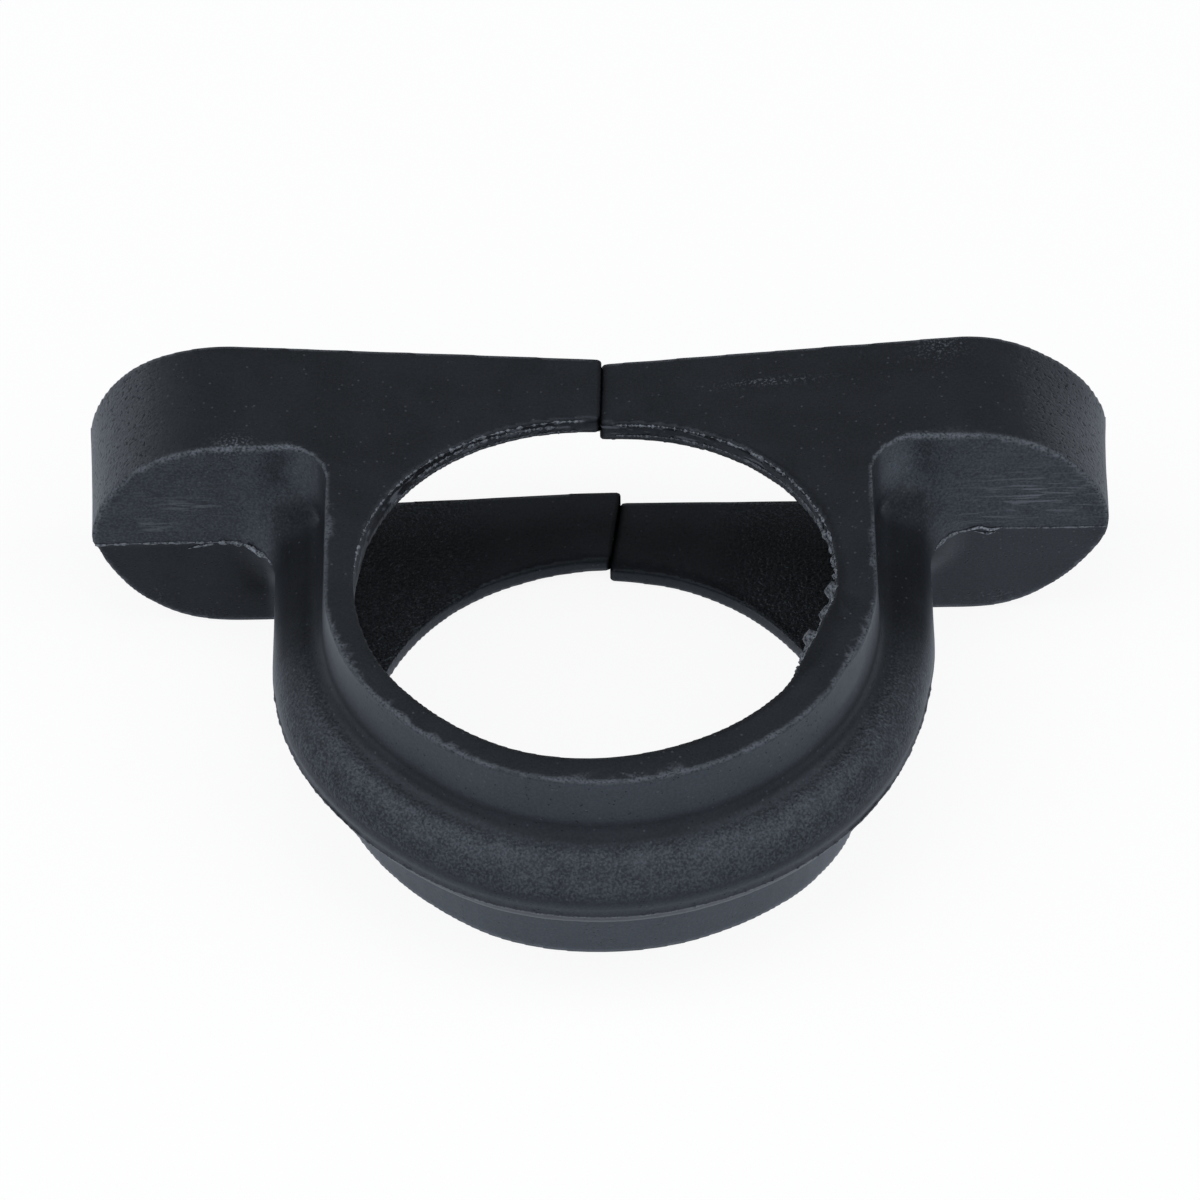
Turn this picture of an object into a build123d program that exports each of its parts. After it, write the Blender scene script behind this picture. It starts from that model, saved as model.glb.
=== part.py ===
from build123d import *
from math import radians, tan
import os

# An eared pipe clip, moulded in one piece as a hollow shell with an open back.
# X runs along the wall, +Y points to the wall and +Z runs along the pipe.
# The origin is on the pipe's axis, level with the underside of the bottom plate.

# Pipe and plates
PIPE_DIAMETER = 68.0
PIPE_CLEARANCE = 0.5
HEIGHT = 37.0
WALL = 2.5
AXIS_TO_WALL = 47.5

# Front wall, a drafted neck above and below a half-round bead, with a cove between them
# whose ends run a little below the surface. Behind the bead the hollow has a straight-sided groove.
NECK_RADIUS = 39.7
NECK_FLARE = 1.0
BEAD_PROUD = 8.1
BEAD_ROUND = 7.2
COVE_RADIUS = 3.0
COVE_SINK = 0.05
GROOVE_MOUTH = 15.0
GROOVE_FLOOR = 3.0

# Ears, with a shallow crest where the two mould halves part
SPAN = 153.0
EAR_ROUND = 21.5
EAR_DRAFT = 3.4
EAR_FRONT = 27.4
EAR_CREST = 1.3
CORNER_RADIUS = 7.5

# Rear arms of the plates, which lean towards each other from the ears to the split
ARM_ROOT_FRONT = 30.0
ARM_ROOT_REAR = 54.0
LEFT_TOP_DROOP = 3.9
RIGHT_TOP_DROOP = 4.9
LEFT_BOTTOM_RISE = 1.6
RIGHT_BOTTOM_RISE = 0.5
TOP_SPLIT = 0.8
BOTTOM_SPLIT = 2.2
SPLIT_GAP = 0.7
TIP_ROUND = 1.0

# Values that follow from those above
BORE_RADIUS = PIPE_DIAMETER / 2 + PIPE_CLEARANCE
BEAD_CENTRE = NECK_RADIUS + BEAD_PROUD - BEAD_ROUND
MID = HEIGHT / 2
REACH = SPAN + AXIS_TO_WALL


def wall_section(sink, cove):
    """Half section of the outer form, filled in to the pipe's axis and drawn in by a sink."""
    neck = NECK_RADIUS - sink
    outline = Polyline(
        (0, sink),
        (neck, sink),
        (neck + NECK_FLARE, MID),
        (neck, HEIGHT - sink),
        (0, HEIGHT - sink),
        close=True,
    )
    bead = Pos(BEAD_CENTRE, MID) * Circle(BEAD_ROUND - sink)
    section = make_face(outline) + bead
    if cove:
        hollows = section.vertices().filter_by(lambda v: v.X > neck and sink < v.Y < HEIGHT - sink)
        section = fillet(hollows, COVE_RADIUS)
    return Plane.XZ * section


def hollow_section():
    """Half section of the hollow, with a straight-sided groove behind the bead."""
    neck = NECK_RADIUS - WALL
    nose = NECK_RADIUS + BEAD_PROUD - WALL
    outline = Polyline(
        (0, WALL),
        (neck, WALL),
        (neck, MID - GROOVE_MOUTH / 2),
        (nose, MID - GROOVE_FLOOR / 2),
        (nose, MID + GROOVE_FLOOR / 2),
        (neck, MID + GROOVE_MOUTH / 2),
        (neck, HEIGHT - WALL),
        (0, HEIGHT - WALL),
        close=True,
    )
    return Plane.XZ * make_face(outline)


def collar(section, back):
    """Half-round front with straight sides that run back to the wall."""
    front = revolve(section, -Axis.Z, 180)
    sides = extrude(section + mirror(section, Plane.YZ), back, dir=(0, 1, 0))
    return front + sides


def ears(inset, back):
    """Two ears with round ends that spread towards the wall, their front face crested at the parting plane."""
    low, high = inset, HEIGHT - inset
    spread = tan(radians(EAR_DRAFT))
    half = SPAN / 2 - EAR_ROUND - spread * AXIS_TO_WALL
    end = Ellipse(EAR_ROUND - inset, MID - inset)
    outline = Plane.XZ * Pos(half / 2, MID) * (Rectangle(half, high - low) + Pos(half / 2, 0) * end)
    ear = Solid.extrude(outline.face(), Vector(spread, 1, 0) * back)
    bar = ear + mirror(ear, Plane.YZ)
    edge = EAR_FRONT + inset
    profile = Polyline((edge, low), (back, low), (back, high), (edge, high), (edge - EAR_CREST, MID), close=True)
    return bar & extrude(Plane.YZ * make_face(profile), SPAN / 2, both=True)


def ear_corners(body, inset):
    """Edges where the front of each ear meets the neck and the bead."""
    crest = EAR_FRONT - EAR_CREST + inset

    def is_corner(edge):
        place = edge.center()
        on_side = NECK_RADIUS - inset <= abs(place.X) <= NECK_RADIUS + BEAD_PROUD
        on_front = crest <= place.Y <= crest + EAR_CREST
        return on_side and on_front and inset < place.Z < HEIGHT - inset

    return body.edges().filter_by(is_corner)


def split_place(level):
    """Where a plate is split, along the wall: level is -1 at the bottom plate and 1 at the top."""
    return TOP_SPLIT if level > 0 else BOTTOM_SPLIT


def arm_wedge(side, level, inset, lean):
    """Space beyond a leaning arm: side is -1 or 1, level is -1 at the bottom plate and 1 at the top."""
    middle = split_place(level)
    height = MID + level * (MID - inset)
    front = Vector(side * ARM_ROOT_FRONT, 0, height)
    rear = Vector(side * ARM_ROOT_REAR, AXIS_TO_WALL, height)
    tip = Vector(middle, AXIS_TO_WALL, height - level * lean)
    normal = (rear - front).cross(tip - front)
    outward = normal * (level if normal.Z > 0 else -level)
    root = Plane(origin=front, x_dir=rear - front, z_dir=outward)
    inward = 1 if root.to_local_coords(tip).Y > 0 else -1
    beyond = root * Pos(0, inward * REACH / 2, REACH / 2) * Box(2 * REACH, REACH, REACH)
    zone = Pos(middle + side * REACH / 2, REACH / 2, MID) * Box(REACH, REACH, REACH)
    return beyond & zone


def cornered(section, inset, back):
    """Collar and ears in one, with the corners between them rounded out."""
    plain = collar(section, back) + ears(inset, back)
    return fillet(ear_corners(plain, inset), CORNER_RADIUS + inset)


def leaning(form, inset):
    """A form with its four rear arms brought to their lean."""
    form -= arm_wedge(-1, 1, inset, LEFT_TOP_DROOP)
    form -= arm_wedge(1, 1, inset, RIGHT_TOP_DROOP)
    form -= arm_wedge(-1, -1, inset, LEFT_BOTTOM_RISE)
    form -= arm_wedge(1, -1, inset, RIGHT_BOTTOM_RISE)
    return form


def split(level):
    """Slot that parts a plate at the rear, from the bore to the wall."""
    place = Pos(split_place(level), AXIS_TO_WALL, MID + level * MID)
    return place * Box(SPLIT_GAP, 2 * AXIS_TO_WALL - BORE_RADIUS, HEIGHT)


def tip_edges(body):
    """Upright edges at the ends of the four arms."""

    def is_tip(edge):
        place = edge.center()
        middle = split_place(place.Z - MID)
        return place.Y > 0 and abs(abs(place.X - middle) - SPLIT_GAP / 2) < SPLIT_GAP / 10

    return body.edges().filter_by(Axis.Z).filter_by(is_tip)


def clip_body():
    """The whole moulding."""
    outer = cornered(wall_section(0, False), 0, AXIS_TO_WALL)
    outer += collar(wall_section(COVE_SINK, True), AXIS_TO_WALL - COVE_SINK)
    hollow = cornered(hollow_section(), WALL, AXIS_TO_WALL + WALL)
    body = leaning(outer, 0) - leaning(hollow, WALL)
    body -= Pos(0, 0, MID) * Cylinder(BORE_RADIUS, 2 * HEIGHT)
    body -= split(1)
    body -= split(-1)
    return fillet(tip_edges(body), TIP_ROUND)


os.makedirs("parts", exist_ok=True)
export_step(clip_body(), "parts/clip_body.step")
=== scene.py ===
"""An eared pipe clip of anthracite plastic, moulded in one piece, on a white table."""

import logging
import math
from dataclasses import dataclass
from enum import Enum

import bpy
import numpy as np
from mathutils import Matrix, Vector
from mathutils.bvhtree import BVHTree


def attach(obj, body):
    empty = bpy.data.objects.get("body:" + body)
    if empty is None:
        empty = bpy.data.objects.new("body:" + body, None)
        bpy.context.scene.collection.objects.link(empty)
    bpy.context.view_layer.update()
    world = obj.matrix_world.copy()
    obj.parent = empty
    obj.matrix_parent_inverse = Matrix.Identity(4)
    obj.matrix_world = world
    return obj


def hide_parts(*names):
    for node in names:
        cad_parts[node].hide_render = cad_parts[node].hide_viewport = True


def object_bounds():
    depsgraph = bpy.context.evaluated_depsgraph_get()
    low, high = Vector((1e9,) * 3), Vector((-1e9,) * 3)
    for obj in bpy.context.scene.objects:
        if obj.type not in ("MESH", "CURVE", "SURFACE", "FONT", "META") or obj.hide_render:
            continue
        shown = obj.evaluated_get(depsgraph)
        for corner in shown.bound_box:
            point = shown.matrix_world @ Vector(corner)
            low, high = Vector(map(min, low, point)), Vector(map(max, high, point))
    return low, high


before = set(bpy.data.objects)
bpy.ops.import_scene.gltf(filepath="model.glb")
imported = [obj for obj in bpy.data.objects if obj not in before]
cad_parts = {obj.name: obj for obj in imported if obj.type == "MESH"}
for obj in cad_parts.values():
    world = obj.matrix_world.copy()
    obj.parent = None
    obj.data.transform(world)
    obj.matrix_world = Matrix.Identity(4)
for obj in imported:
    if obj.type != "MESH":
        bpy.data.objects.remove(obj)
CAD_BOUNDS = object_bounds()

LOG = logging.getLogger("pipe_clip")
MM = 0.001

WHITE = (1.0, 1.0, 1.0, 1.0)

Pair = tuple[float, float]
Triple = tuple[float, float, float]
Array = np.ndarray
Object = bpy.types.Object
Socket = bpy.types.NodeSocket


class Mask(Enum):
    """Values painted on the points of the moulding for its finish to read."""

    # Worn edges, with a painted highlight along the collar's top edge
    WEAR = "wear_and_highlight"
    RIM = "rim"
    GRAIN = "grain"
    FLASH = "flash"
    # Sheen, with painted highlights and painted shade
    GLOSS = "sheen_and_light"
    SCUFF = "scuff"
    STREAK = "streak"
    # Eroded texture of the hollow, with painted shade and painted glints
    INSIDE = "inside"
    PITTED = "pitted"
    # Painted shade along the closed split
    SPLIT = "split"


def select_only(obj: Object) -> None:
    """Makes one object the only selected and the active one.

    Args:
        obj: The object to select.
    """
    bpy.ops.object.select_all(action="DESELECT")
    obj.select_set(True)
    bpy.context.view_layer.objects.active = obj


def new_object(name: str, data: bpy.types.ID) -> Object:
    """Adds an object to the scene.

    Args:
        name: Its name.
        data: Its mesh, curve, camera or light.

    Returns:
        The object.
    """
    obj = bpy.data.objects.new(name, data)
    bpy.context.scene.collection.objects.link(obj)
    return obj


def apply_modifier(obj: Object, kind: str, **settings: object) -> None:
    """Changes a mesh by a modifier.

    Args:
        obj: The object with the mesh.
        kind: The modifier's type.
        settings: Properties of the modifier.
    """
    select_only(obj)
    modifier = obj.modifiers.new(kind.lower(), kind)
    for name, setting in settings.items():
        setattr(modifier, name, setting)
    bpy.ops.object.modifier_apply(modifier=modifier.name)


def weld(obj: Object) -> None:
    """Merges the points of a mesh that lie together and turns its faces outwards.

    Args:
        obj: The object with the mesh.
    """
    select_only(obj)
    bpy.ops.object.mode_set(mode="EDIT")
    bpy.ops.mesh.select_all(action="SELECT")
    bpy.ops.mesh.remove_doubles(threshold=0.001 * MM)
    bpy.ops.mesh.normals_make_consistent(inside=False)
    bpy.ops.object.mode_set(mode="OBJECT")


def soft_step(value: Array, low: float | Array, high: float | Array) -> Array:
    """Rises softly from 0 at the low value to 1 at the high one, which may be below the low one."""
    part = np.clip((value - low) / (high - low), 0.0, 1.0)
    return part * part * (3.0 - 2.0 * part)


def lattice_noise(place: Array, seed: int) -> Array:
    """Soft noise between -1 and 1, with one knot at each whole number.

    Args:
        place: Points, one in each row.
        seed: Which noise.

    Returns:
        The noise at each point.
    """
    size = 64
    knots = np.random.default_rng(seed).uniform(-1.0, 1.0, (size, size, size))
    base = np.floor(place).astype(int)
    part = soft_step(place - base, 0.0, 1.0)
    total = np.zeros(len(place))
    for corner in np.ndindex(2, 2, 2):
        weight = np.prod(np.where(np.array(corner) == 1, part, 1.0 - part), axis=1)
        i, j, k = ((base + np.array(corner)) % size).T
        total += weight * knots[i, j, k]
    return total


@dataclass
class MeshPoints:
    """The points of a mesh, in millimetres, with their normals."""

    obj: Object
    place: Array
    normal: Array

    @classmethod
    def of(cls, obj: Object) -> "MeshPoints":
        """Reads the points of an object.

        Args:
            obj: The object.

        Returns:
            Its points.
        """
        place = np.empty(3 * len(obj.data.vertices), np.float32)
        normal = np.empty_like(place)
        obj.data.vertices.foreach_get("co", place)
        obj.data.vertices.foreach_get("normal", normal)
        return cls(obj, place.reshape(-1, 3).astype(float) / MM, normal.reshape(-1, 3).astype(float))

    def ring(self) -> Array:
        """Measures from the pipe's axis, or from the middle plane behind the axis."""
        return np.hypot(self.place[:, 0], np.minimum(self.place[:, 1], 0.0))

    def put(self) -> None:
        """Moves the object's points to their new places, kept inside the box of the CAD model."""
        low, high = (np.array(corner) / MM for corner in CAD_BOUNDS)
        place = np.clip(self.place, low, high) * MM
        self.obj.data.vertices.foreach_set("co", place.astype(np.float32).ravel())
        self.obj.data.update()

    def paint(self, mask: Mask, value: Array) -> None:
        """Paints a mask with its value at each point."""
        layer = self.obj.data.attributes.new(mask.value, "FLOAT", "POINT")
        layer.data.foreach_set("value", value.astype(np.float32))

    def mean_of_neighbours(self, value: Array) -> Array:
        """Takes the mean of a value over the points joined to each point.

        Args:
            value: One row for each point.

        Returns:
            The means.
        """
        ends = np.empty(2 * len(self.obj.data.edges), np.int32)
        self.obj.data.edges.foreach_get("vertices", ends)
        first, second = ends.reshape(-1, 2).T
        count = len(self.place)
        number = np.bincount(first, minlength=count) + np.bincount(second, minlength=count)
        columns = value.reshape(count, -1).T
        sums = [
            np.bincount(first, column[second], count) + np.bincount(second, column[first], count)
            for column in columns
        ]
        return (np.array(sums) / np.maximum(number, 1)).T.reshape(value.shape)

    def sharpness(self, spread: int) -> Array:
        """Finds the edges that stand out.

        Args:
            spread: How often the result is spread to its neighbours.

        Returns:
            How far each point stands out of its neighbours, in millimetres.
        """
        out = ((self.place - self.mean_of_neighbours(self.place)) * self.normal).sum(axis=1)
        for _ in range(spread):
            out = 0.5 * out + 0.5 * self.mean_of_neighbours(out)
        return out


@dataclass(frozen=True)
class ClipSizes:
    """Sizes of the moulding, in millimetres, and the regions that they mark off.

    The two lines are where the closed split of a plate starts at the bore and ends at the wall.
    """

    height: float = 37.0
    bore: float = 34.5
    wall: float = 47.5
    top_split: float = 0.8
    bottom_split: float = 2.2
    top_line: Pair = (0.2, 0.55)
    bottom_line: Pair = (1.5, 3.2)
    arm_front: float = 30.0
    ear_root: float = 15.0
    ear_end: float = 55.0
    seam_height: float = 18.3

    @property
    def mid(self) -> float:
        """Height of the parting plane."""
        return self.height / 2

    def seam(self, points: MeshPoints) -> Array:
        """Works out how high the bead's parting seam runs, which is lower at the front."""
        return self.seam_height - soft_step(points.place[:, 1], -5.0, -40.0)

    def rim_share(self, points: MeshPoints, depth: float) -> Array:
        """Finds the rim of the openings.

        Args:
            points: The points of the moulding.
            depth: How far the rim reaches from the bore into the plates.

        Returns:
            1 at the bore and 0 beyond the depth.
        """
        x, y, z = points.place.T
        inner = soft_step(np.hypot(x, y), self.bore + depth, self.bore + 0.3 * depth)
        return inner * soft_step(np.abs(z - self.mid), 9.0, 11.0)

    def split_line(self, points: MeshPoints) -> Array:
        """Works out where the closed split runs.

        Args:
            points: The points of the moulding.

        Returns:
            The place of the split along the wall, for each point's plate and depth.
        """
        share = (points.place[:, 1] - self.bore) / (self.wall - self.bore)
        lines = (self.top_line, self.bottom_line)
        top, bottom = (front + share * (rear - front) for front, rear in lines)
        return np.where(points.place[:, 2] > self.mid, top, bottom)

    def inside(self, points: MeshPoints) -> Array:
        """Finds the faces of the hollow.

        Args:
            points: The points of the moulding.

        Returns:
            1 on the hollow's faces and 0 elsewhere.
        """
        x, y, z = points.place.T
        off_mid = np.abs(z - self.mid)
        towards_mid = -np.sign(z - self.mid) * points.normal[:, 2]
        plate = soft_step(towards_mid, 0.5, 0.8) * (off_mid > 8.0)
        ring = points.ring()
        towards_axis = -(points.normal[:, 0] * x + points.normal[:, 1] * np.minimum(y, 0.0))
        wall = soft_step(towards_axis / np.maximum(ring, 1.0), 0.4, 0.7) * (off_mid < 16.5) * (ring > 35.5)
        return np.maximum(plate, wall) * (ring < 46.5)

    def beside_bore(self, points: MeshPoints) -> Array:
        """Finds what lies left and right of the middle of the clip."""
        return soft_step(np.abs(points.place[:, 0]), 13.0, 26.0)

    def ear_ends(self, points: MeshPoints) -> Array:
        """Finds the round ends of the ears."""
        outward = soft_step(np.abs(points.normal[:, 0]), 0.3, 0.6)
        return outward * (np.abs(points.place[:, 0]) > self.ear_end)


@dataclass(frozen=True)
class Distortion:
    """A soft shift of one region of the moulding, in millimetres."""

    centre: Triple
    reach: Triple
    fade: Triple
    shift: Triple

    def apply(self, points: MeshPoints) -> None:
        """Shifts the points of the region.

        Args:
            points: The points of the moulding.
        """
        inner = (np.array(self.reach) - np.abs(points.place - np.array(self.centre))) / np.array(self.fade)
        weight = np.prod(soft_step(inner, 0.0, 1.0), axis=1)
        points.place += weight[:, None] * np.array(self.shift)


@dataclass(frozen=True)
class Patch:
    """A round patch on which a mask is painted, in millimetres."""

    centre: Triple
    reach: Triple
    strength: float = 1.0

    def weight(self, place: Array) -> Array:
        """Works out how strong the patch is at each place."""
        away = (place - np.array(self.centre)) / np.array(self.reach)
        return self.strength * np.exp(-2.0 * (away**2).sum(axis=1))


class Course(Enum):
    """How the course of a thread of flash is given."""

    ALONG_THE_WALL = "x and height, dropped on to the ears from the front"
    ROUND_THE_AXIS = "degrees and height, dropped on to the bead towards the axis"
    IN_THE_BORE = "degrees and depth below the plate's edge, dropped on to the rim away from the axis"


@dataclass(frozen=True)
class Flash:
    """A thread of plastic left at the parting plane or by trimming the rim, in millimetres.

    The last fields say where its points are dropped from, and on which radius a turn is measured.
    """

    kind: Course
    name: str
    radius: float
    lift: float
    ragged: float
    pale: float
    course: tuple[Pair, ...]
    step: float = 0.3
    thin_end: float = 0.25
    end_length: float = 1.5
    turn_radius: float = 48.0
    in_front: float = -20.0
    far_out: float = 60.0
    on_rim: float = 36.4

    def build(self, surface: BVHTree, seed: int) -> Object:
        """Lays the thread on the surface.

        Args:
            surface: The moulding's surface, in metres.
            seed: Which noise makes it ragged.

        Returns:
            The thread, a closed mesh.
        """
        places = self._places(surface)
        curve = bpy.data.curves.new(self.name, "CURVE")
        curve.dimensions = "3D"
        curve.bevel_depth = self.radius * MM
        curve.bevel_resolution = 1
        curve.use_fill_caps = True
        spline = curve.splines.new("POLY")
        spline.points.add(len(places) - 1)
        along = np.arange(len(places)) * self.step
        wave = max(0.5, 1.6 * self.radius)
        noise = lattice_noise(np.column_stack((along / wave, along / 3.0, along * 0.0)), seed)
        ends = np.minimum(1.0, self.thin_end + np.minimum(along, along[::-1]) / self.end_length)
        for point, place, swing, end in zip(spline.points, places, noise, ends):
            point.co = (*place, 1.0)
            point.radius = end * max(0.1, 1.0 + self.ragged * swing)
        select_only(new_object(self.name, curve))
        bpy.ops.object.convert(target="MESH")
        thread = bpy.context.object
        weld(thread)
        return thread

    def _places(self, surface: BVHTree) -> list[Vector]:
        """Drops the course on to the surface.

        Args:
            surface: The moulding's surface, in metres.

        Returns:
            Points along the course, in metres.
        """
        across, height = np.array(self.course).T
        unit = 1.0 if self.kind is Course.ALONG_THE_WALL else math.radians(self.turn_radius)
        length = np.abs(np.diff(across)).sum() * unit
        share = np.linspace(0.0, 1.0, max(4, int(length / self.step)))
        rank = np.linspace(0.0, 1.0, len(across))
        places = []
        for knot in zip(np.interp(share, rank, across), np.interp(share, rank, height)):
            start, way = self._ray(surface, *knot)
            hit = surface.ray_cast(start * MM, way)[0]
            if hit is not None:
                places.append(hit - way * self.lift * MM)
        return places

    def _ray(self, surface: BVHTree, across: float, height: float) -> tuple[Vector, Vector]:
        """Finds the line along which a point of the course is dropped.

        Args:
            surface: The moulding's surface, in metres.
            across: Where the point is along the wall, or its angle.
            height: Its height, or its depth below the edge.

        Returns:
            Where the line starts, in millimetres, and its direction.
        """
        if self.kind is Course.ALONG_THE_WALL:
            return Vector((across, self.in_front, height)), Vector((0.0, 1.0, 0.0))
        turn = math.radians(across)
        out = Vector((math.cos(turn), math.sin(turn), 0.0))
        if self.kind is Course.ROUND_THE_AXIS:
            return self.far_out * out + Vector((0.0, 0.0, height)), -out
        above = self.on_rim * out + Vector((0.0, 0.0, self.far_out))
        edge = surface.ray_cast(above * MM, Vector((0.0, 0.0, -1.0)))[0]
        return Vector((0.0, 0.0, edge.z / MM - height)), out


# Name, radius, lift, raggedness, paleness and course of each thread, with the courses as Course says
FLASH_ROWS = {
    Course.ALONG_THE_WALL: (
        ("left_ear_seam", 0.17, 0.0, 1.0, 0.5,
         ((-75.2, 18.2), (-70.0, 18.5), (-61.0, 18.6), (-57.0, 18.5), (-52.0, 18.6))),
        ("left_ear_flake", 0.14, 0.05, 0.8, 0.7, ((-60.8, 17.2), (-59.0, 17.9), (-56.6, 18.3))),
        ("left_corner_seam", 0.28, 0.05, 1.1, 0.55,
         ((-57.0, 18.6), (-54.0, 18.5), (-51.0, 18.4), (-48.3, 18.5))),
        ("left_corner_burr", 0.6, 0.4, 0.8, 1.0, ((-52.2, 18.9), (-51.0, 18.4), (-49.9, 18.1))),
        ("right_ear_seam", 0.12, 0.0, 0.6, 0.45, ((75.2, 18.6), (66.0, 18.5), (58.8, 18.6))),
        ("right_ear_curl", 0.2, 0.12, 0.45, 1.0, ((59.4, 18.8), (57.6, 18.3), (56.0, 18.9), (53.6, 18.2))),
        ("right_ear_flake", 0.17, 0.08, 0.45, 1.0, ((58.4, 17.8), (57.0, 17.4), (55.2, 18.0))),
        ("right_corner_seam", 0.3, 0.05, 1.1, 0.6, ((54.0, 18.3), (51.5, 18.5), (49.2, 18.4))),
    ),
    Course.ROUND_THE_AXIS: (
        ("bead_lip", 0.09, 0.0, 1.3, 0.4,
         ((-174.0, 18.2), (-132.0, 17.3), (-90.0, 17.2), (-48.0, 17.3), (-6.0, 18.2))),
    ),
    Course.IN_THE_BORE: (
        ("left_rim_edge", 0.14, 0.02, 1.9, 0.6, ((93.0, 0.4), (125.0, 0.35), (150.0, 0.3), (178.0, 0.3))),
        ("left_rim_foot", 0.14, 0.0, 1.7, 0.4, ((93.0, 2.5), (120.0, 2.4), (150.0, 2.2))),
        ("left_rim_shred", 0.15, 0.05, 2.2, 0.5, ((100.0, 1.3), (118.0, 1.0), (140.0, 1.4))),
        ("right_rim_edge", 0.14, 0.02, 1.9, 0.6, ((86.0, 0.4), (60.0, 0.35), (20.0, 0.3), (-36.0, 0.3))),
        ("right_rim_foot", 0.14, 0.0, 1.7, 0.4, ((86.0, 2.6), (60.0, 2.4), (20.0, 2.2))),
        ("right_rim_burr", 0.22, 0.1, 2.2, 0.5, ((22.0, 1.7), (4.0, 1.5), (-20.0, 1.5), (-34.0, 1.3))),
        ("right_rim_chunk", 0.8, 0.35, 0.8, 0.35, ((-1.0, 1.6), (-6.0, 1.1), (-11.0, 1.6), (-14.0, 1.2))),
        ("right_rim_lump", 0.85, 0.5, 0.8, 0.35, ((-19.0, 1.4), (-24.0, 1.1), (-29.0, 1.6))),
    ),
}
FLASHES = tuple(Flash(kind, *row) for kind, rows in FLASH_ROWS.items() for row in rows)

# Warps of the ears, the bead, the neck and the rim
DISTORTIONS = (
    Distortion((-64.0, 24.0, 18.5), (26.0, 16.0, 40.0), (12.0, 12.0, 10.0), (0.0, -1.1, 0.0)),
    Distortion((64.0, 24.0, 18.5), (26.0, 16.0, 40.0), (12.0, 12.0, 10.0), (0.0, -0.45, 0.0)),
    Distortion((76.0, 47.5, 30.0), (22.0, 26.0, 18.0), (18.0, 22.0, 14.0), (-0.9, 0.0, -1.2)),
    Distortion((77.0, 28.0, 7.0), (20.0, 40.0, 15.0), (16.0, 20.0, 13.0), (-1.3, 0.0, 0.8)),
    Distortion((-77.0, 28.0, 7.0), (18.0, 40.0, 15.0), (14.0, 20.0, 13.0), (1.2, 0.0, 0.7)),
    Distortion((-77.0, 42.0, 28.0), (12.0, 28.0, 14.0), (10.0, 22.0, 10.0), (0.7, 0.0, 0.0)),
    Distortion((48.0, 12.0, 18.0), (9.0, 22.0, 13.0), (7.0, 14.0, 9.0), (0.7, 0.0, 0.0)),
    Distortion((-32.0, -32.0, 18.0), (20.0, 20.0, 24.0), (16.0, 16.0, 8.0), (0.4, 0.4, 0.0)),
    Distortion((34.0, -28.0, 5.0), (18.0, 18.0, 9.0), (14.0, 14.0, 5.0), (0.6, -0.3, 0.0)),
    Distortion((31.0, -13.0, 36.0), (7.0, 11.0, 4.5), (5.0, 9.0, 3.0), (-1.1, 0.3, 0.0)),
    Distortion((-77.0, 30.0, 12.0), (9.0, 40.0, 7.2), (8.0, 20.0, 2.2), (0.8, 0.0, 0.0)),
)

# Scuffs, scratches, and patches of painted highlight and painted shade in the sheen
PATCHES = {
    Mask.SCUFF: (
        Patch((-53.5, 27.0, 37.0), (3.5, 2.5, 2.0), 1.0),
        Patch((50.5, 46.0, 36.0), (4.5, 4.0, 2.5), 0.8),
        Patch((25.0, 40.8, 34.6), (9.0, 0.9, 2.5), 1.0),
        Patch((-66.5, 27.0, 5.5), (2.5, 2.0, 3.5), 0.5),
        Patch((-61.0, 27.3, 1.8), (4.5, 2.0, 1.3), 0.7),
        Patch((59.0, 27.2, 3.0), (4.0, 2.0, 1.2), 0.5),
    ),
    Mask.STREAK: (
        Patch((65.0, 26.0, 25.0), (11.0, 3.0, 5.0), 1.0),
        Patch((62.0, 26.0, 28.0), (16.0, 4.0, 9.0), 0.15),
        Patch((56.0, 26.0, 21.0), (4.5, 3.0, 1.8), 1.0),
        Patch((-59.4, 26.0, 25.9), (6.5, 3.0, 1.2), 0.7),
        Patch((-66.0, 26.0, 21.7), (3.5, 3.0, 2.2), 0.7),
        Patch((-62.0, 26.0, 26.0), (16.0, 4.0, 9.0), 0.15),
    ),
    # Painted highlight where the sheen is raised and painted shade where it is lowered: the ears' inner
    # corners, the left ear's lower front and the right ear's end
    Mask.GLOSS: (
        Patch((-44.4, 22.6, 25.4), (4.0, 4.0, 3.5), -0.3),
        Patch((-50.5, 25.5, 11.0), (5.0, 5.0, 7.0), -0.2),
        Patch((44.5, 23.4, 25.9), (4.0, 4.0, 3.5), -0.25),
        Patch((43.5, 25.5, 31.4), (5.0, 5.0, 5.5), 0.65),
        Patch((74.5, 33.0, 25.0), (5.0, 13.0, 11.0), -0.45),
        Patch((-43.5, 25.5, 31.4), (5.0, 5.0, 5.5), 0.15),
    ),
}


def sum_of_patches(points: MeshPoints, mask: Mask) -> Array:
    """Adds up the patches of a mask at each point."""
    return sum(patch.weight(points.place) for patch in PATCHES[mask])


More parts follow.
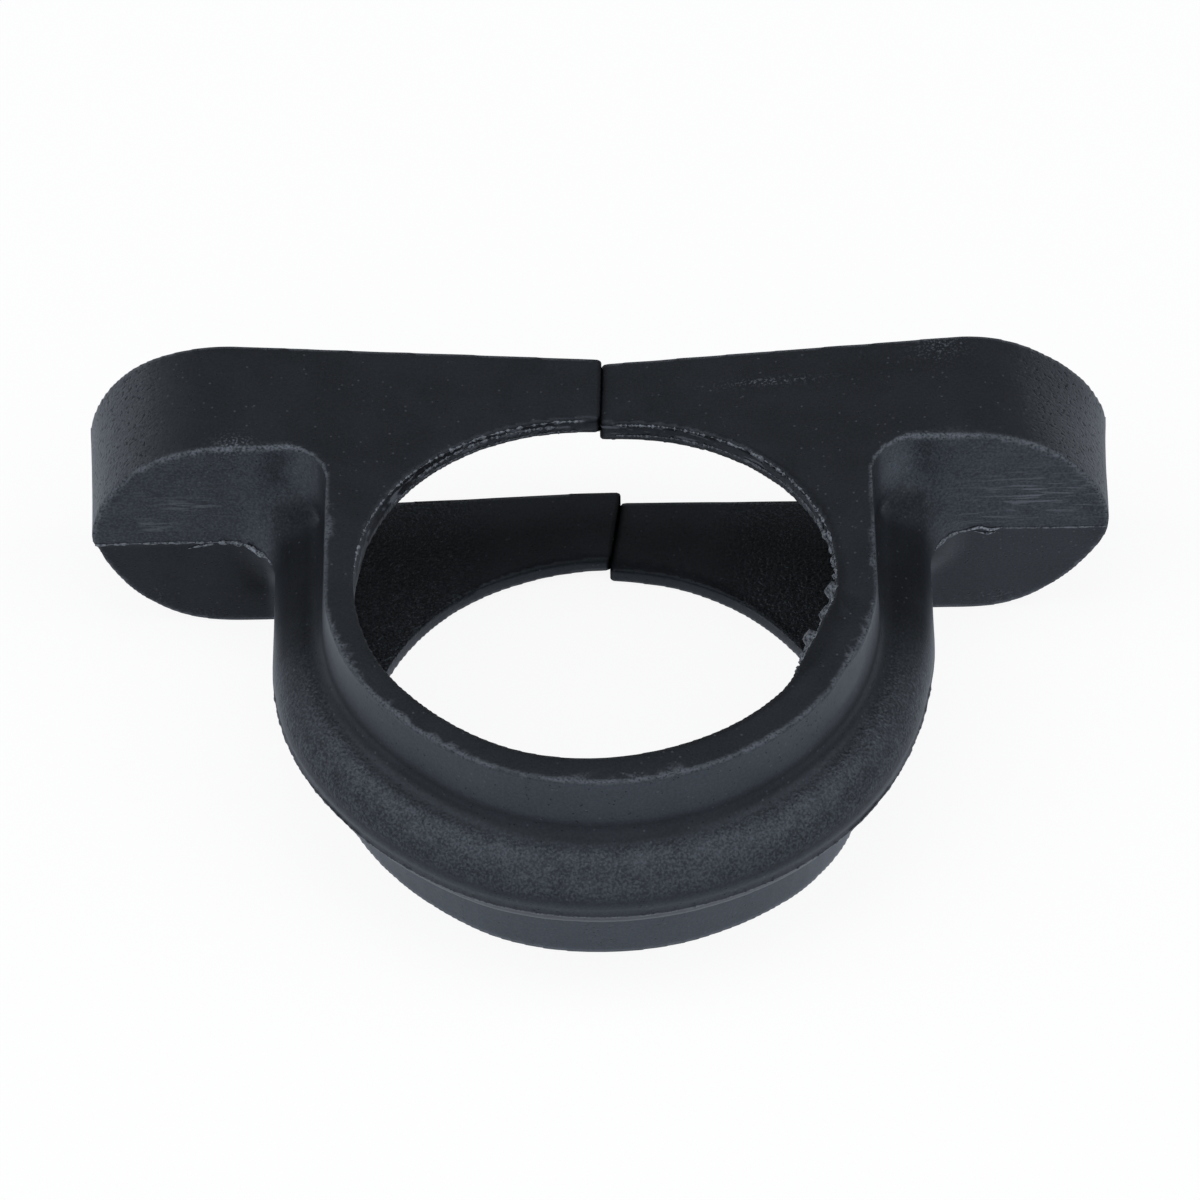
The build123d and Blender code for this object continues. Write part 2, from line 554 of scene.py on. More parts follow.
@dataclass(frozen=True)
class Shape:
    """How far the mould and trimming left the moulding from its plain shape, in millimetres."""

    sizes: ClipSizes
    points: MeshPoints
    depth: float = 3.0
    top_left: float = 0.9
    top_right: float = 0.6
    top_front: float = 0.8
    left_sag: float = 0.5
    right_sag: float = 1.1
    right_arm: float = 0.6
    right_arm_rim: float = 0.9
    left_arm_rim: float = 0.6
    left_arm_rise: float = 0.6
    seam_groove: float = 0.2
    seam_step: float = 0.6
    split_closed: float = 0.5
    split_overlap: float = 0.03
    tip_round: float = 0.9
    tip_slack: float = 0.1

    def shift_rims(self) -> None:
        """Shifts the rims of the openings and the arms."""
        x, y, z = self.points.place.T.copy()
        rim = self.sizes.rim_share(self.points, self.depth)
        upper = z > self.sizes.mid
        lower = z < self.sizes.mid
        left_shift = self.top_left * np.maximum(soft_step(z, 33.8, 36.3), soft_step(y, 8.0, -4.0))
        sideways = np.abs(x) / self.sizes.bore * np.where(x < 0.0, left_shift, self.top_right)
        self.points.place[:, 0] -= rim * upper * sideways
        front = soft_step(y, 0.0, -20.0) * soft_step(x, 14.0, -10.0)
        self.points.place[:, 1] -= rim * upper * self.top_front * front
        under = rim * upper * soft_step(self.points.normal[:, 2], 0.2, -0.6) * soft_step(y, -5.0, 15.0)
        self.points.place[:, 2] -= under * np.where(x < self.sizes.top_split, self.left_sag, self.right_sag)
        right_arm = (x > self.sizes.bottom_split) * lower * soft_step(x, 44.0, 30.0)
        forward = self.right_arm + self.right_arm_rim * rim * lower
        self.points.place[:, 1] -= right_arm * soft_step(y, 3.0, 22.0) * forward
        left_arm = (x < self.sizes.bottom_split) * lower * soft_step(x, -28.0, 0.0)
        self.points.place[:, 1] -= left_arm * rim * lower * soft_step(y, 20.0, 30.0) * self.left_arm_rim
        self.points.place[:, 2] += left_arm * soft_step(y, 30.0, 44.0) * self.left_arm_rise

    def part_the_bead(self) -> None:
        """Sinks a groove along the bead's seam, and the bead a little below it."""
        _, y, z = self.points.place.T
        seam = self.sizes.seam(self.points)
        bead = soft_step(self.points.ring(), 42.0, 44.0) * soft_step(y, 14.0, 4.0)
        groove = soft_step(np.abs(z - seam - 0.75), 0.6, 0.1) * bead
        below = soft_step(z, seam - 0.1, seam - 1.3) * bead * soft_step(z, 9.0, 12.0)
        sunk = self.seam_groove * groove + self.seam_step * below
        self.points.place -= sunk[:, None] * self.points.normal * np.array((1.0, 1.0, 0.0))

    def close_split(self) -> None:
        """Brings the ends of the arms together, along lines that lean."""
        x, y, z = self.points.place.T.copy()
        slot = np.where(z > self.sizes.mid, self.sizes.top_split, self.sizes.bottom_split)
        line = self.sizes.split_line(self.points)
        side = np.sign(x - slot)
        tip = soft_step(np.abs(x - slot), 9.0, 1.0) * soft_step(y, 22.0, 31.0)
        moved = x + tip * (line - slot - side * self.split_closed)
        left = np.minimum(moved, line + self.split_overlap)
        right = np.maximum(moved, line - self.split_overlap)
        arms = y > self.sizes.arm_front
        self.points.place[arms, 0] = np.where(side < 0.0, left, right)[arms]

    def round_tips(self) -> None:
        """Rounds the corners of the four arms at the split."""
        line = self.sizes.split_line(self.points)
        for side, level in ((-1.0, -1.0), (-1.0, 1.0), (1.0, -1.0), (1.0, 1.0)):
            x, y, z = self.points.place.T
            across = side * (x - line)
            arm = (np.abs(across) < 2.0 * self.tip_round) & (level * (z - self.sizes.mid) > 0.0)
            arm &= y > self.sizes.arm_front
            for edge, way in ((y[arm].max(), -1.0), (y[arm].min(), 1.0)):
                corner = self.tip_round - np.column_stack((across, way * (self.points.place[:, 1] - edge)))
                far = np.hypot(*corner.T)
                beyond = arm & (corner > 0.0).all(axis=1) & (far > self.tip_round)
                beyond &= across > -self.tip_slack
                inner = self.tip_round - corner[beyond] * (self.tip_round / far[beyond])[:, None]
                self.points.place[beyond, 0] = line[beyond] + side * inner[:, 0]
                self.points.place[beyond, 1] = edge + way * inner[:, 1]


@dataclass(frozen=True)
class SheenAndPaintedLight:
    """How much sheen the faces of the moulding have, where 1 is that of the plates.

    Besides the plastic's own sheen, the values hold painted light: painted reflection on the neck,
    and painted shade on the fronts and ends of the ears, in the hollow, on the cove and on the bead's
    band, lip, top and sides. Each value is the share that a place loses, or gains where the name says so.
    """

    sizes: ClipSizes
    points: MeshPoints
    # Painted shade on the lower and upper fronts and on the ends of the ears
    left_ear_low: float = 0.76
    right_ear_low: float = 0.4
    left_ear_high: float = 0.24
    right_ear_high: float = 0.04
    ear_end: float = 0.08
    # Painted shade in the hollow
    hollow: float = 0.2
    rim: float = 0.55
    rim_depth: float = 0.9
    # Painted reflection on the upper and lower neck
    upper_neck_gain: float = 0.38
    lower_neck_gain: float = 0.45
    # Painted shade on the cove and on the bead's band, lip, top and sides
    cove: float = 0.35
    band: float = 0.3
    band_height: float = 20.6
    lip: float = 0.5
    lip_drop: float = 2.0
    bead_top: float = 0.62
    bead_side: float = 0.08
    least: float = 0.1

    def at_points(self) -> Array:
        """Works out the sheen, with its painted highlights and painted shade.

        Returns:
            The sheen at each point.
        """
        sheen_and_light = self._ears() * self._front_wall()
        # Painted shade in the hollow
        sheen_and_light *= 1.0 - self.hollow * self.sizes.inside(self.points) * self.sizes.beside_bore(self.points)
        sheen_and_light *= 1.0 - self.rim * self.sizes.rim_share(self.points, self.rim_depth)
        return np.maximum(sheen_and_light + sum_of_patches(self.points, Mask.GLOSS), self.least)

    def _ears(self) -> Array:
        """Works out the painted shade in the sheen of the ears' fronts and ends.

        Returns:
            What the sheen is multiplied by.
        """
        x, y, z = self.points.place.T
        front = soft_step(self.points.normal[:, 1], -0.4, -0.8)
        below_seam = soft_step(z, 18.6, 18.0)
        # Painted shade on the lower and upper fronts of the ears and on their ends
        low = soft_step(np.abs(x), 47.5, 50.0) * front * below_seam * (y > self.sizes.ear_root)
        high = soft_step(np.abs(x), 50.0, 56.0) * front * (1.0 - below_seam)
        sheen_and_light = 1.0 - low * np.where(x < 0.0, self.left_ear_low, self.right_ear_low)
        sheen_and_light *= 1.0 - high * np.where(x < 0.0, self.left_ear_high, self.right_ear_high)
        return sheen_and_light * (1.0 - self.ear_end * self.sizes.ear_ends(self.points))

    def _front_wall(self) -> Array:
        """Works out the sheen of the bead, the cove above it and the neck on both sides of it, with painted
        reflection on the neck and painted shade on the cove and the bead.

        Returns:
            What the sheen is multiplied by.
        """
        x, y, z = self.points.place.T
        ring = self.points.ring()
        # Painted reflection on the lower and upper neck
        lower = soft_step(z, 12.5, 11.0) * soft_step(y, 0.0, -10.0)
        upright = soft_step(np.abs(self.points.normal[:, 2]), 0.6, 0.3)
        upper = upright * soft_step(ring, 42.0, 41.0) * (ring > 38.5) * soft_step(z, 28.0, 30.0)
        sheen_and_light = (1.0 + self.lower_neck_gain * lower) * (1.0 + self.upper_neck_gain * upper)
        # Painted shade on the cove, the bead's band, the bead below its seam, its top and its sides
        off_mid = np.abs(z - self.sizes.mid)
        cove = soft_step(off_mid, 11.0, 9.0) * soft_step(off_mid, 5.5, 7.5) * (z > self.sizes.mid)
        sheen_and_light *= 1.0 - self.cove * cove * soft_step(ring, 43.5, 42.0)
        band = soft_step(np.abs(z - self.band_height), 1.4, 0.6) * soft_step(ring, 45.0, 46.5)
        sheen_and_light *= 1.0 - self.band * band * soft_step(y, 0.0, -20.0)
        under_seam = soft_step(np.abs(z - self.sizes.seam(self.points) + self.lip_drop), 3.0, 1.8)
        sheen_and_light *= 1.0 - self.lip * under_seam * soft_step(ring, 42.5, 44.0) * soft_step(y, 14.0, -14.0)
        top = soft_step(ring, 41.5, 43.0) * soft_step(ring, 48.5, 47.5) * soft_step(y, -12.0, 2.0)
        top *= soft_step(z, 29.0, 26.5) * soft_step(z, 18.0, 19.0)
        sheen_and_light *= 1.0 - self.bead_top * top * soft_step(self.points.normal[:, 2], 0.3, 0.7)
        side = soft_step(ring, 42.0, 43.0) * soft_step(np.abs(x), 15.0, 26.0)
        return sheen_and_light * (1.0 - self.bead_side * side * soft_step(y, 8.0, -8.0))


@dataclass(frozen=True)
class WearAndHighlight:
    """How far handling has worn the edges of the moulding, with a painted highlight along the collar;
    sharpness is in millimetres.
    """

    sizes: ClipSizes
    points: MeshPoints
    narrow: Pair = (0.05, 0.13)
    collar_narrow: Pair = (0.03, 0.09)
    wide: Pair = (0.012, 0.045)
    collar_loss: float = 0.2
    ear_share: float = 0.4
    collar_share: float = 0.1

    def at_points(self) -> Array:
        """Finds the worn edges and the painted highlight along the collar, apart from the edges of the
        openings and the split.

        Returns:
            How far each point is worn, with the painted highlight on the collar.
        """
        x, y, z = self.points.place.T
        ring = self.points.ring()
        on_ear = soft_step(np.abs(x), 41.0, 46.0) * (y < 40.0)
        # Painted highlight: the collar's top edge is painted paler, in a wider band
        on_collar = soft_step(ring, 38.0, 39.0) * soft_step(ring, 42.0, 41.0) * (z > 34.0)
        on_collar *= soft_step(y, 24.0, 14.0)
        low, high = (
            plain + on_collar * (collar - plain) for plain, collar in zip(self.narrow, self.collar_narrow)
        )
        line = soft_step(self.points.sharpness(1), low, high) * (1.0 - self.collar_loss * on_collar)
        share = np.maximum(self.ear_share * on_ear, self.collar_share * on_collar)
        rubbed_and_highlight = np.maximum(line, share * soft_step(self.points.sharpness(7), *self.wide))
        rubbed_and_highlight *= soft_step(np.hypot(x, y), self.sizes.bore + 1.6, self.sizes.bore + 2.4)
        off_split = soft_step(np.abs(x - self.sizes.split_line(self.points)), 1.0, 2.0)
        return rubbed_and_highlight * np.where(y > self.sizes.arm_front, off_split, 1.0)


@dataclass
class MouldedClip:
    """The whole moulding: a hollow shell with an open back."""

    sizes: ClipSizes
    octree_depth: int = 8
    octree_scale: float = 0.9
    smooth_steps: int = 2
    smooth_factor: float = 0.5
    triangles: int = 170000
    wave: float = 0.06
    wave_lengths: Pair = (14.0, 4.0)
    rim_depth: float = 1.2
    ear_front_grain: float = 0.5
    ear_end_grain: float = 0.6
    first_flash_seed: int = 20

    def __post_init__(self) -> None:
        """Copies the CAD mesh and merges its points."""
        self.obj = new_object("moulded_clip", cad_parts["clip_body"].data.copy())
        self.obj.data.materials.clear()
        weld(self.obj)

    def build(self) -> Object:
        """Builds the moulding.

        Returns:
            The finished piece.
        """
        self._remesh()
        self._distort()
        self._thin_out()
        self._paint()
        self._add_flashes()
        select_only(self.obj)
        bpy.ops.object.shade_smooth()
        return self.obj

    def _remesh(self) -> None:
        """Gives the mesh even faces and softens its edges."""
        octree = {"octree_depth": self.octree_depth, "scale": self.octree_scale}
        apply_modifier(self.obj, "REMESH", mode="SHARP", use_remove_disconnected=False, **octree)
        apply_modifier(self.obj, "SMOOTH", factor=self.smooth_factor, iterations=self.smooth_steps)

    def _distort(self) -> None:
        """Gives the moulding its unevenness, its seam and the rims of its openings."""
        points = MeshPoints.of(self.obj)
        for distortion in DISTORTIONS:
            distortion.apply(points)
        shape = Shape(self.sizes, points)
        shape.shift_rims()
        shape.part_the_bead()
        long_wave, short_wave = (
            lattice_noise(points.place / length, seed) for seed, length in enumerate(self.wave_lengths, 1)
        )
        points.place += self.wave * (long_wave + 0.5 * short_wave)[:, None] * points.normal
        shape.close_split()
        shape.round_tips()
        points.put()

    def _thin_out(self) -> None:
        """Brings the mesh down to its number of triangles, inside its box."""
        ratio = min(1.0, self.triangles / (2 * len(self.obj.data.polygons)))
        apply_modifier(self.obj, "DECIMATE", ratio=ratio)
        MeshPoints.of(self.obj).put()

    def _paint(self) -> None:
        """Paints the masks that the finish reads."""
        points = MeshPoints.of(self.obj)
        x, y, z = points.place.T
        inside = self.sizes.inside(points)
        at_split = soft_step(np.abs(x - self.sizes.split_line(points)), 0.5, 0.1)
        upright = soft_step(np.abs(points.normal[:, 2]), 0.8, 0.4)
        top_rim = upright * self.sizes.rim_share(points, self.rim_depth) * (z > self.sizes.mid)
        bead = soft_step(points.ring(), 41.0, 42.5) * soft_step(y, 5.0, -15.0)
        bead *= soft_step(z, 20.0, 21.2) * soft_step(z, 28.5, 26.5)
        front = soft_step(points.normal[:, 1], -0.1, -0.5) * soft_step(np.abs(x), 40.0, 43.0)
        front *= (y > self.sizes.ear_root) * soft_step(z, 18.3, 19.0)
        ends = self.sizes.ear_ends(points)
        ears = np.maximum(self.ear_front_grain * front, self.ear_end_grain * ends)
        masks = {
            # Painted shade and painted glints on the hollow's faces beside the bore, with their eroded
            # texture
            Mask.INSIDE: inside * self.sizes.beside_bore(points),
            # Painted shade along the closed split between the arms
            Mask.SPLIT: at_split * (y > self.sizes.arm_front),
            # Worn edges, with a painted highlight along the collar
            Mask.WEAR: (1.0 - inside) * WearAndHighlight(self.sizes, points).at_points(),
            Mask.RIM: top_rim * soft_step(y, -14.0, 2.0),
            Mask.GRAIN: np.maximum(bead, ears),
            Mask.PITTED: ends,
            # Sheen with painted highlights and painted shade
            Mask.GLOSS: SheenAndPaintedLight(self.sizes, points).at_points(),
            Mask.FLASH: np.zeros(len(x)),
            Mask.SCUFF: np.clip(sum_of_patches(points, Mask.SCUFF), 0.0, 1.0),
            Mask.STREAK: np.clip(sum_of_patches(points, Mask.STREAK), 0.0, 1.0),
        }
        for mask, value in masks.items():
            points.paint(mask, value)

    def _add_flashes(self) -> None:
        """Lays the flash on the moulding and joins it."""
        surface = BVHTree.FromObject(self.obj, bpy.context.evaluated_depsgraph_get())
        threads = [flash.build(surface, seed) for seed, flash in enumerate(FLASHES, self.first_flash_seed)]
        for thread, flash in zip(threads, FLASHES):
            points = MeshPoints.of(thread)
            points.put()
            points.paint(Mask.FLASH, np.full(len(points.place), flash.pale))
            points.paint(Mask.GLOSS, np.ones(len(points.place)))
        select_only(self.obj)
        for thread in threads:
            thread.select_set(True)
        bpy.ops.object.join()


@dataclass
class NodeBoard:
    """Adds nodes to a material or to the surroundings and links them."""

    tree: bpy.types.NodeTree

    def fill(self, node: bpy.types.Node, values: dict[str | int, object]) -> None:
        """Links or sets the inputs of a node.

        Args:
            node: The node.
            values: Sockets to link to, or values for the inputs, by name or number.
        """
        for name, value in values.items():
            if isinstance(value, Socket):
                self.tree.links.new(value, node.inputs[name])
            else:
                node.inputs[name].default_value = value

    def add(self, kind: str, values: dict[str | int, object], **settings: object) -> bpy.types.Node:
        """Adds a node.

        Args:
            kind: Its type.
            values: What its inputs are filled with.
            settings: Properties of the node.

        Returns:
            The node.
        """
        node = self.tree.nodes.new(kind)
        for name, setting in settings.items():
            setattr(node, name, setting)
        self.fill(node, values)
        return node

    def math(self, operation: str, first: object, second: object) -> Socket:
        """Works out a sum or the like of two sockets or numbers."""
        return self.add("ShaderNodeMath", {0: first, 1: second}, operation=operation).outputs[0]

    def times(self, first: object, second: object) -> Socket:
        """Multiplies two sockets or numbers."""
        return self.math("MULTIPLY", first, second)

    def scaled(self, value: Socket, factor: float, start: object) -> Socket:
        """Multiplies a value by a factor and adds it to a start, a socket or a number."""
        inputs = {0: value, 1: factor, 2: start}
        return self.add("ShaderNodeMath", inputs, operation="MULTIPLY_ADD").outputs[0]

    def spread(self, value: Socket, low: float, high: float) -> Socket:
        """Spreads the values between low and high softly from 0 to 1."""
        inputs = {"Value": value, "From Min": low, "From Max": high}
        return self.add("ShaderNodeMapRange", inputs, interpolation_type="SMOOTHSTEP").outputs["Result"]

    def blend(self, factor: Socket, first: object, second: object) -> Socket:
        """Mixes two colours by a factor that is 1 where only the second one shows."""
        inputs = {"Factor": factor, 6: first, 7: second}
        return self.add("ShaderNodeMix", inputs, data_type="RGBA").outputs[2]

    def mask(self, mask: Mask) -> Socket:
        """Reads a mask that was painted on the mesh."""
        return self.add("ShaderNodeAttribute", {}, attribute_name=mask.value).outputs["Fac"]

    def noise(self, place: Socket, scale: float, detail: float) -> Socket:
        """Adds a noise with a number of waves in each unit of the place, and of octaves."""
        inputs = {"Vector": place, "Scale": scale, "Detail": detail}
        return self.add("ShaderNodeTexNoise", inputs).outputs["Fac"]


@dataclass
class PlasticFinish(NodeBoard):
    """Matt anthracite plastic with worn edges, pale specks, paler flash and painted light.

    The scales are waves or dots in a metre, and the depth of the relief is in millimetres.
    """

    # Painted light in this finish: shade in the hollow and the split, glints in the hollow, a highlight
    # along the collar, and highlights and shade in the sheen
    colour: Triple = (0.0102, 0.0113, 0.0132)
    # Pale colour of worn edges, specks, scuffs, scratches and trim marks, which also paints the collar's
    # highlight and the glints in the hollow
    rubbed_and_highlight: Triple = (0.085, 0.092, 0.105)
    torn: Triple = (0.22, 0.235, 0.26)
    tint: Triple = (0.79, 0.89, 1.0)
    roughness: float = 0.45
    rubbed_roughness: float = 0.25
    sheen: float = 0.45
    fine_scale: float = 2600.0
    coarse_scale: float = 1800.0
    patchy_scale: float = 420.0
    cloud_scale: float = 130.0
    pit_scale: float = 1350.0
    speck_scale: float = 1000.0
    scratch_scale: Triple = (220.0, 220.0, 2300.0)
    trim_scale: Pair = (9.0, 1300.0)
    relief_depth: float = 0.05
    relief_strength: float = 0.9

    def __post_init__(self) -> None:
        """Adds the coordinates and the noises that all parts of the finish share."""
        self.place = self.add("ShaderNodeTexCoord", {}).outputs["Object"]
        self.fine = self.noise(self.place, self.fine_scale, 2.0)
        self.coarse = self.noise(self.place, self.coarse_scale, 1.0)
        self.patchy = self.noise(self.place, self.patchy_scale, 2.0)

    @classmethod
    def material(cls) -> bpy.types.Material:
        """Makes the material.

        Returns:
            The material.
        """
        material = bpy.data.materials.new("anthracite_plastic")
        material.use_nodes = True
        cls(material.node_tree).cover()
        return material

    def cover(self) -> None:
        """Fills the inputs of the plastic's shader."""
        pits = self._pits()
        pale = self._pale()
        plain = self.blend(pale, self._mottled(pits), (*self.rubbed_and_highlight, 1.0))
        threads = self.times(self.mask(Mask.FLASH), self.spread(self.fine, 0.30, 0.62))
        inputs = {
            "Base Color": self.blend(threads, plain, (*self.torn, 1.0)),
            "Roughness": self.scaled(pale, self.rubbed_roughness, self.roughness),
            "Specular IOR Level": self._shine(pits),
            "Specular Tint": (*self.tint, 1.0),
            "Normal": self._relief(pale, pits),
        }
        self.fill(self.tree.nodes["Principled BSDF"], inputs)

    def _dots(self, scale: float, share: Pair) -> Socket:
        """Scatters small dots over the surface.

        Args:
            scale: Places for dots in a metre.
            share: Where the share of the places that have a dot begins, and where a dot is full.

        Returns:
            The strength of the dots.
        """
        cells = self.add("ShaderNodeTexVoronoi", {"Vector": self.place, "Scale": scale})
        dot = self.spread(cells.outputs["Distance"], 0.24, 0.08)
        return self.times(dot, self.spread(cells.outputs["Color"], *share))

    def _pits(self) -> Socket:
        """Makes the pits on the ends of the ears and small ones all over.

        Returns:
            The strength of the pits.
        """
        eroded = self.times(self.mask(Mask.PITTED), self.spread(self.coarse, 0.44, 0.30))
        dots = self._dots(self.pit_scale, (0.44, 0.32))
        return self.math("MAXIMUM", eroded, self.times(dots, 0.8))

    def _shine(self, pits: Socket) -> Socket:
        """Makes the uneven sheen, painted highlights and painted shade included, which is missing in the
        pits and the split.

        Args:
            pits: Where the pits are.

        Returns:
            The strength of the reflection.
        """
        grainy = self.mask(Mask.GRAIN)
        flicker = self.scaled(self.spread(self.fine, 0.30, 0.70), 1.0, -0.5)
        flicker = self.times(flicker, self.scaled(grainy, 0.4, 0.2))
        blotches = self.times(self.scaled(self.patchy, 1.1, -0.55), grainy)
        sheen = self.scaled(self.math("ADD", flicker, blotches), self.sheen, self.sheen)
        # Painted shade: no sheen in the closed split, and less in the pits
        dull = self.math("MAXIMUM", self.times(pits, 0.7), self.mask(Mask.SPLIT))
        # The sheen mask carries painted highlights and painted shade
        sheen = self.times(self.mask(Mask.GLOSS), sheen)
        return self.times(sheen, self.scaled(dull, -1.0, 1.0))

    def _mottled(self, pits: Socket) -> Socket:
        """Makes the plastic's own colour, uneven and grainy, with painted shade in the hollow and the split.

        Args:
            pits: Where the pits are.

        Returns:
            The colour.
        """
        grainy = self.mask(Mask.GRAIN)
        cloud = self.spread(self.noise(self.place, self.cloud_scale, 2.0), 0.3, 0.7)
        uneven = self.times(self.spread(self.fine, 0.3, 0.7), self.scaled(grainy, 0.85, 0.2))
        shade = self.scaled(grainy, 0.4, self.scaled(cloud, 0.35, uneven))
        # Painted shade in the hollow; the rims and the pits are darker too
        dark = self.math("MAXIMUM", self.mask(Mask.RIM), self.mask(Mask.INSIDE))
        dark = self.math("MAXIMUM", dark, pits)
        # Painted shade along the closed split
        shade = self.math("SUBTRACT", self.scaled(dark, -0.5, shade), self.mask(Mask.SPLIT))
        level = self.math("MAXIMUM", self.scaled(shade, 0.8, 0.74), 0.1)
        colour = self.add("ShaderNodeVectorMath", {0: self.colour, "Scale": level}, operation="SCALE")
        return colour.outputs["Vector"]

    def _pale(self) -> Socket:
        """Finds where the surface is pale: specks, worn edges, scratches, a painted highlight along the
        collar and painted glints in the hollow.

        Returns:
            How pale it is.
        """
        flecks = self.spread(self.fine, 0.52, 0.66)
        # Worn edges, with the painted highlight along the collar's top edge
        edges = self.times(self.spread(self.mask(Mask.WEAR), 0.2, 0.9), 0.8)
        worn = self.times(edges, self.spread(self.patchy, 0.15, 0.6))
        stretched = self.add("ShaderNodeMapping", {"Vector": self.place, "Scale": self.scratch_scale})
        scratches = self.spread(self.noise(stretched.outputs[0], 1.0, 2.0), 0.50, 0.66)
        pale = self.times(self._dots(self.speck_scale, (0.58, 0.80)), 0.38)
        for part in (
            self.times(worn, self.spread(self.fine, 0.30, 0.58)),
            self.times(self.mask(Mask.SCUFF), flecks),
            self.times(self.mask(Mask.STREAK), scratches),
            self.times(self.mask(Mask.RIM), self._trim_marks()),
            self.times(flecks, self.times(self.mask(Mask.GRAIN), 0.1)),
            # Painted glints: pale flecks in the hollow
            self.times(flecks, self.times(self.mask(Mask.INSIDE), 0.12)),
        ):
            pale = self.math("ADD", pale, part)
        return self.math("MINIMUM", pale, 1.0)

    def _trim_marks(self) -> Socket:
        """Makes the marks of the knife, which run round the opening.

        Returns:
            How pale they are.
        """
        turn_scale, height_scale = self.trim_scale
        parts = self.add("ShaderNodeSeparateXYZ", {0: self.place}).outputs
        turn = self.times(self.math("ARCTAN2", parts["Y"], parts["X"]), turn_scale)
        height = self.times(parts["Z"], height_scale)
        round_it = self.add("ShaderNodeCombineXYZ", {0: turn, 1: 0.0, 2: height}).outputs[0]
        return self.spread(self.noise(round_it, 1.0, 4.0), 0.54, 0.64)

    def _relief(self, pale: Socket, pits: Socket) -> Socket:
        """Makes the fine relief of the surface.

        Args:
            pale: How pale the surface is.
            pits: Where the pits are.

        Returns:
            The normal.
        """
        grainy = self.mask(Mask.GRAIN)
        rough = self.scaled(grainy, 2.5, self.times(self.mask(Mask.INSIDE), 9.0))
        height = self.times(self.fine, self.scaled(grainy, 0.6, 0.4))
        height = self.math("ADD", height, self.times(self.coarse, rough))
        height = self.math("SUBTRACT", self.scaled(pale, 0.6, height), pits)
        inputs = {"Height": height, "Strength": self.relief_strength, "Distance": self.relief_depth * MM}
        return self.add("ShaderNodeBump", inputs).outputs["Normal"]


@dataclass(frozen=True)
class PhotoCamera:
    """Camera that sees the clip from the front, from above."""

    lens: float = 227.23
    sensor: float = 36.0
    distance: float = 1.1
    elevation: float = 47.06
    yaw: float = -0.24
    roll: float = 0.97
    aim: Triple = (0.0, 0.0, 0.018435)
    offset: Pair = (0.00007, -0.00907)

    def place(self) -> Object:
        """Adds the camera to the scene.

        Returns:
            The camera.
        """
        data = bpy.data.cameras.new("photo_camera")
        data.lens = self.lens
        data.sensor_width = self.sensor
        camera = new_object("photo_camera", data)
        camera.matrix_world = self._matrix()
        bpy.context.scene.camera = camera
        return camera

    def _matrix(self) -> Matrix:
        """Works out where the camera stands.

        Returns:
            The camera's matrix.
        """
        lift = math.radians(self.elevation)
        turn = Matrix.Rotation(-math.radians(self.yaw), 3, "Z")
        right = turn @ Vector((1.0, 0.0, 0.0))
        upward = turn @ Vector((0.0, math.sin(lift), math.cos(lift)))
        forward = turn @ Vector((0.0, math.cos(lift), -math.sin(lift)))
        place = Vector(self.aim) - self.distance * forward - self.offset[0] * right - self.offset[1] * upward
        tilt = math.radians(self.roll)
        across = math.cos(tilt) * right - math.sin(tilt) * upward
        above = math.sin(tilt) * right + math.cos(tilt) * upward
        matrix = Matrix((across, above, -forward)).transposed().to_4x4()
        matrix.translation = place
        return matrix


@dataclass(frozen=True)
class Softbox:
    """One soft light, turned to the clip."""

    name: str
    place: Triple
    size: Pair
    level: float
    colour: Triple = (0.95, 0.985, 1.05)

    def add(self) -> Object:
        """Adds the light to the scene.

        Returns:
            The light.
        """
        data = bpy.data.lights.new(self.name, "AREA")
        data.shape = "RECTANGLE"
        data.size, data.size_y = self.size
        data.energy = self.level * math.pi * self.size[0] * self.size[1]
        data.color = self.colour
        light = new_object(self.name, data)
        light.location = self.place
        light.rotation_euler = (-Vector(self.place)).to_track_quat("-Z", "Y").to_euler()
        return light


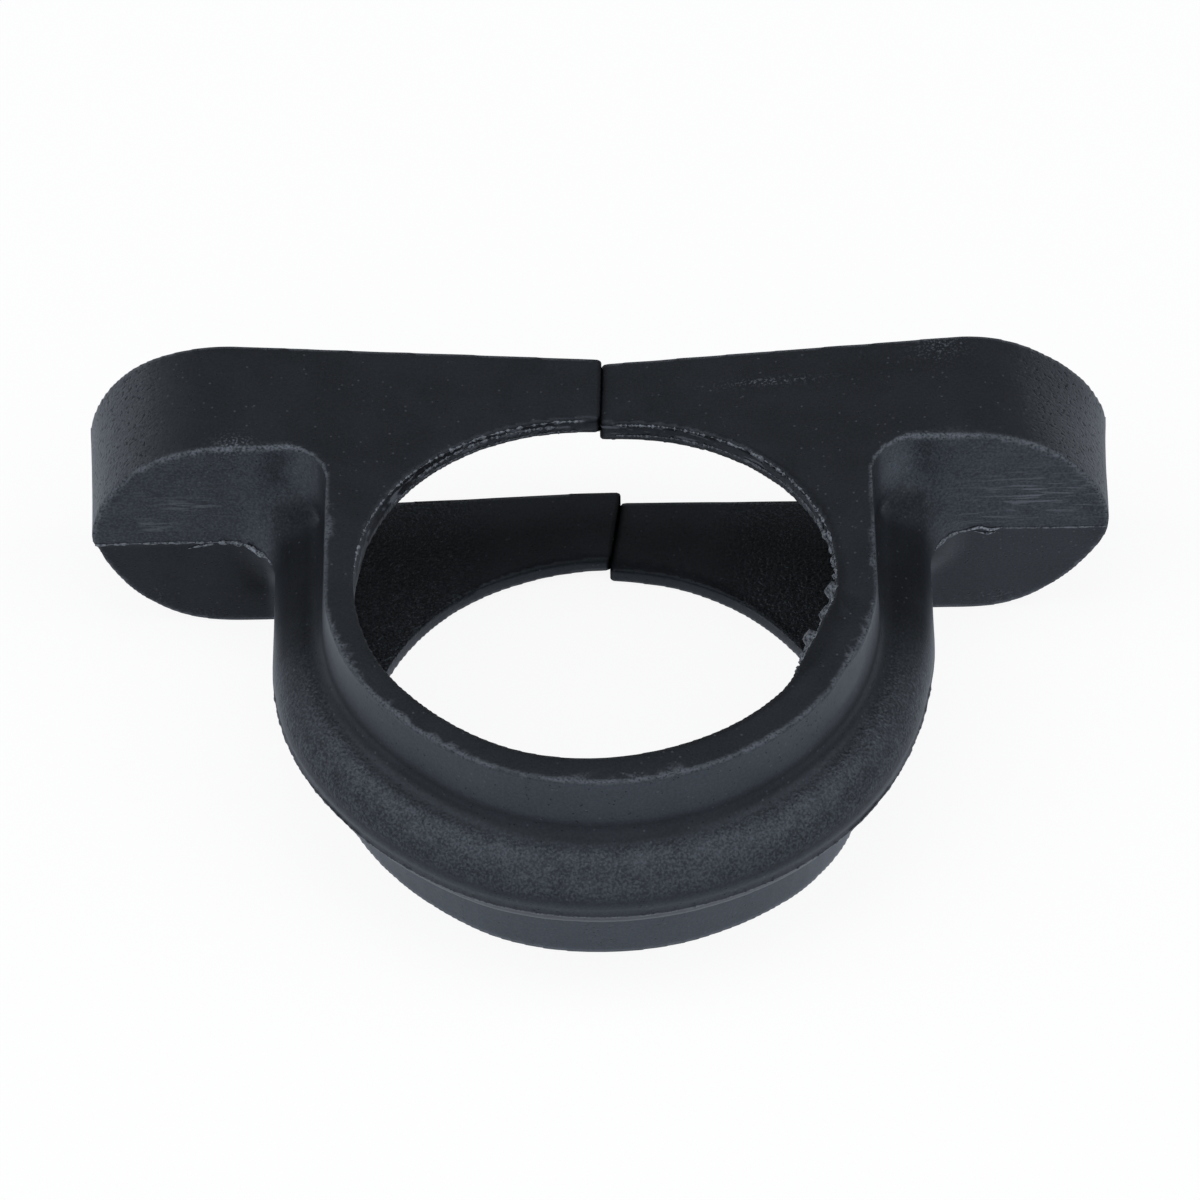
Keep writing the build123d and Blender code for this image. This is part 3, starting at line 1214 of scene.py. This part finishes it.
@dataclass(frozen=True)
class TableFinish:
    """White table top, which looks nearly white to the camera and keeps the shadow."""

    white: float = 0.9
    roughness: float = 0.9
    seen: float = 0.9
    mirrored: float = 0.95
    mirrored_tint: Triple = (0.87, 0.94, 1.06)

    def material(self) -> bpy.types.Material:
        """Makes the material.

        Returns:
            The material.
        """
        material = bpy.data.materials.new("white_table")
        material.use_nodes = True
        nodes = material.node_tree.nodes
        board = NodeBoard(material.node_tree)
        matt = nodes["Principled BSDF"]
        colour = (self.white, self.white, self.white, 1.0)
        board.fill(matt, {"Base Color": colour, "Roughness": self.roughness, "Specular IOR Level": 0.0})
        rays = board.add("ShaderNodeLightPath", {}).outputs
        shown = board.blend(rays["Is Camera Ray"], (*self.mirrored_tint, 1.0), WHITE)
        glow = board.add("ShaderNodeEmission", {"Color": shown})
        share = board.times(rays["Is Camera Ray"], self.seen)
        share = board.scaled(rays["Is Glossy Ray"], self.mirrored, share)
        share = board.scaled(rays["Is Transmission Ray"], self.mirrored, share)
        inputs = {"Fac": share, 1: matt.outputs["BSDF"], 2: glow.outputs["Emission"]}
        top = board.add("ShaderNodeMixShader", inputs)
        board.fill(nodes["Material Output"], {"Surface": top.outputs["Shader"]})
        return material


@dataclass
class Studio:
    """White table under soft light. The drop of its top below the clip is in millimetres."""

    floor_size: float = 6.0
    floor_drop: float = 0.05
    sky: float = 0.12
    lights: tuple[Softbox, ...] = (
        Softbox("overhead", (0.0, 0.0, 1.4), (0.8, 0.8), 2.0),
        Softbox("front", (0.0, -1.4, 0.6), (2.4, 1.2), 1.0),
        Softbox("left", (-1.1, -0.25, 1.2), (1.5, 1.3), 2.3),
        Softbox("right", (1.1, -0.25, 1.2), (1.5, 1.3), 2.1),
        Softbox("rear_left", (-1.3, 1.3, 0.35), (1.2, 0.6), 1.0),
        Softbox("rear_right", (1.3, 1.3, 0.35), (1.2, 0.6), 0.25),
    )

    def build(self) -> None:
        """Adds the floor, the lights and the surroundings."""
        self._floor()
        for light in self.lights:
            light.add()
        self._surroundings()
        bpy.context.scene.view_settings.view_transform = "Standard"

    def _floor(self) -> None:
        """Adds the table top."""
        bpy.ops.mesh.primitive_plane_add(size=self.floor_size, location=(0.0, 0.0, -self.floor_drop * MM))
        floor = bpy.context.object
        floor.name = "table_top"
        floor.data.materials.append(TableFinish().material())

    def _surroundings(self) -> None:
        """Makes the surroundings white to the camera and dim to the rest."""
        world = bpy.data.worlds.new("studio")
        world.use_nodes = True
        bpy.context.scene.world = world
        board = NodeBoard(world.node_tree)
        rays = board.add("ShaderNodeLightPath", {}).outputs
        inputs = {"Value": rays["Is Camera Ray"], "To Min": self.sky, "To Max": 1.0}
        strength = board.add("ShaderNodeMapRange", inputs).outputs["Result"]
        board.fill(world.node_tree.nodes["Background"], {"Color": WHITE, "Strength": strength})


def main() -> None:
    """Builds the clip and its stage."""
    logging.basicConfig(level=logging.INFO, format="%(name)s: %(message)s")
    clip = MouldedClip(ClipSizes()).build()
    clip.data.materials.append(PlasticFinish.material())
    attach(clip, "root")
    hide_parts("clip_body")
    LOG.info("%s: %d faces", clip.name, len(clip.data.polygons))
    Studio().build()
    PhotoCamera().place()


if __name__ == "__main__":
    main()
